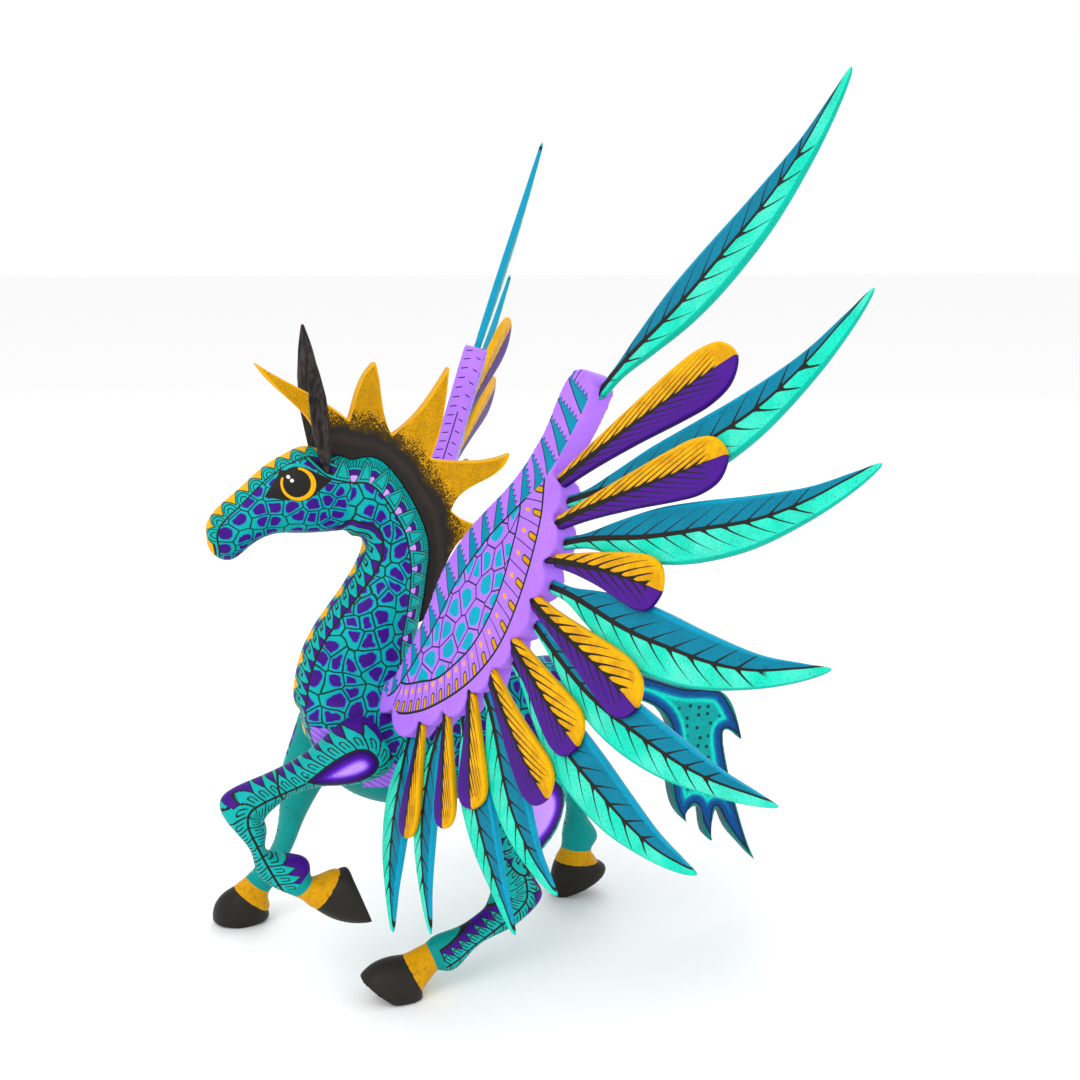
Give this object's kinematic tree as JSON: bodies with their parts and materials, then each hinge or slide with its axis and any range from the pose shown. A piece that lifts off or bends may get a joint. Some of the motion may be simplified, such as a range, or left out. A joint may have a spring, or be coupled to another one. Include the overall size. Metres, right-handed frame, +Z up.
{
  "type": "winged horse figure",
  "caption": "Carved and painted wooden winged horse stepping forward, with wings, ears and tail that plug into its body.",
  "frame": {"origin": "middle of the figure's overall box, on the ground under its hooves", "axes": "+X to the figure's left, -Y forward along its nose, +Z up"},
  "size_m": [0.4417, 0.2431, 0.3567],
  "materials": {
    "scale_paint": "matte hand-painted",
    "bare_wood": "sanded",
    "mane_paint": "matte hand-painted",
    "ear_paint": "matte hand-painted",
    "tail_paint": "matte hand-painted",
    "wing_paint": "matte hand-painted",
    "long_feather_paint": "matte hand-painted",
    "short_feather_paint": "matte hand-painted"
  },
  "bodies": {
    "figure": {"body": "scale_paint", "foreleg_left": "scale_paint", "hindleg_left": "scale_paint", "foreleg_right": "scale_paint", "hindleg_right": "scale_paint", "leg_dowels": "bare_wood", "mane_crest": "mane_paint"},
    "left_wing": {"wing_left": "wing_paint", "long_feather_left_01": "long_feather_paint", "long_feather_left_02": "long_feather_paint", "long_feather_left_03": "long_feather_paint", "long_feather_left_04": "long_feather_paint", "long_feather_left_05": "long_feather_paint", "long_feather_left_06": "long_feather_paint", "long_feather_left_07": "long_feather_paint", "long_feather_left_08": "long_feather_paint", "long_feather_left_09": "long_feather_paint", "long_feather_left_10": "long_feather_paint", "short_feather_left_01": "short_feather_paint", "short_feather_left_02": "short_feather_paint", "short_feather_left_03": "short_feather_paint", "short_feather_left_04": "short_feather_paint", "short_feather_left_05": "short_feather_paint", "short_feather_left_06": "short_feather_paint", "short_feather_left_07": "short_feather_paint", "short_feather_left_08": "short_feather_paint", "short_feather_left_09": "short_feather_paint"},
    "right_wing": {"wing_right": "wing_paint", "long_feather_right_01": "long_feather_paint", "long_feather_right_02": "long_feather_paint", "long_feather_right_03": "long_feather_paint", "long_feather_right_04": "long_feather_paint", "long_feather_right_05": "long_feather_paint", "long_feather_right_06": "long_feather_paint", "long_feather_right_07": "long_feather_paint", "long_feather_right_08": "long_feather_paint", "long_feather_right_09": "long_feather_paint", "long_feather_right_10": "long_feather_paint", "short_feather_right_01": "short_feather_paint", "short_feather_right_02": "short_feather_paint", "short_feather_right_03": "short_feather_paint", "short_feather_right_04": "short_feather_paint", "short_feather_right_05": "short_feather_paint", "short_feather_right_06": "short_feather_paint", "short_feather_right_07": "short_feather_paint", "short_feather_right_08": "short_feather_paint", "short_feather_right_09": "short_feather_paint"},
    "left_ear": {"ear_left": "ear_paint"},
    "right_ear": {"ear_right": "ear_paint"},
    "tail_piece": {"tail": "tail_paint"}
  },
  "joints": [
    {"name": "left_wing_out", "type": "slide", "parent": "figure", "child": "left_wing", "axis": [0.865, 0.3965, 0.3074], "range_m": [0, 0.05]},
    {"name": "right_wing_out", "type": "slide", "parent": "figure", "child": "right_wing", "axis": [-0.865, 0.3965, 0.3074], "range_m": [0, 0.05]},
    {"name": "left_ear_out", "type": "slide", "parent": "figure", "child": "left_ear", "axis": [0.3656, -0.1462, 0.9192], "range_m": [0, 0.02]},
    {"name": "right_ear_out", "type": "slide", "parent": "figure", "child": "right_ear", "axis": [-0.2205, -0.0551, 0.9738], "range_m": [0, 0.02]},
    {"name": "tail_out", "type": "slide", "parent": "figure", "child": "tail_piece", "axis": [0, 0.9397, 0.3419], "range_m": [0, 0.03]}
  ]
}
